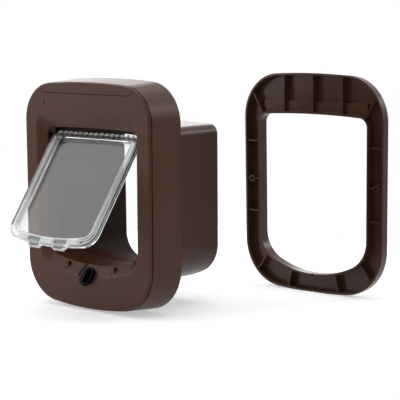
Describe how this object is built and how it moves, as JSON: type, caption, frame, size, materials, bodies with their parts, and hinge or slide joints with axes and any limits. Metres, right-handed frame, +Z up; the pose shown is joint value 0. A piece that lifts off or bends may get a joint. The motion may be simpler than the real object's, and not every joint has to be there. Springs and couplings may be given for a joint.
{
  "type": "cat flap",
  "caption": "Microchip cat flap with a clear swinging flap, tunnel, lock dial and battery cover, beside its ribbed outer frame.",
  "frame": {"origin": "midway between the two fixing-screw holes, on the plane where the inner frame seats on the door", "axes": "+Y from the room into the door along the tunnel, +Z up, +X to the right seen from the room"},
  "size_m": [0.3133, 0.3269, 0.2536],
  "materials": {
    "brown_plastic": "fine spark-eroded moulding texture, satin",
    "brown_gloss": "smooth moulded, semi-gloss",
    "clear_plastic": "clear polycarbonate, polished",
    "black_plastic": "black moulded, glossy",
    "white_plastic": "natural moulded plastic",
    "steel": "bright steel",
    "magnet": "nickel-plated magnet",
    "copper": "enamelled copper winding",
    "board": "green solder mask",
    "cell": "printed metal cell can, left plain",
    "red_plastic": "red moulded button",
    "smoke_plastic": "smoked light pipe"
  },
  "bodies": {
    "frame": {"inner_frame": "brown_plastic", "tunnel": "brown_gloss", "tunnel_liner": "brown_gloss", "sill": "brown_plastic", "reader_coil": "copper", "case_screws": "steel", "hinge_bushes": "black_plastic", "solenoid": "black_plastic", "battery_tray": "black_plastic", "batteries": "cell", "battery_contacts": "steel", "circuit_board": "board", "board_parts": "black_plastic", "learn_switch": "black_plastic", "led_window": "smoke_plastic", "outer_frame": "brown_plastic"},
    "flap": {"flap": "clear_plastic", "flap_magnets": "magnet", "hinge_pins": "steel"},
    "lock": {"lock_dial": "black_plastic", "lock_clip": "white_plastic"},
    "latch": {"latch": "brown_plastic", "plunger": "steel"},
    "cover": {"battery_cover": "brown_plastic"},
    "button": {"learn_button": "red_plastic"}
  },
  "joints": [
    {"name": "flap_swing", "type": "hinge", "parent": "frame", "child": "flap", "pos_m": [0, -0.029, 0.062], "axis": [-1, 0, 0], "range_deg": [-114.5, 45.5]},
    {"name": "dial_turn", "type": "hinge", "parent": "frame", "child": "lock", "pos_m": [0, -0.04296, -0.08616], "axis": [0, -0.8115, 0.5843], "range_deg": [-90, 90]},
    {"name": "latch_lift", "type": "slide", "parent": "frame", "child": "latch", "axis": [0, 0, 1], "range_m": [0, 0.0095]},
    {"name": "cover_lift", "type": "slide", "parent": "frame", "child": "cover", "axis": [0, 0, 1], "range_m": [0, 0.05]},
    {"name": "learn_press", "type": "slide", "parent": "frame", "child": "button", "axis": [0, 0, -1], "range_m": [0, 0.001], "stiffness_N_per_m": 400, "springref_m": -0.001}
  ]
}
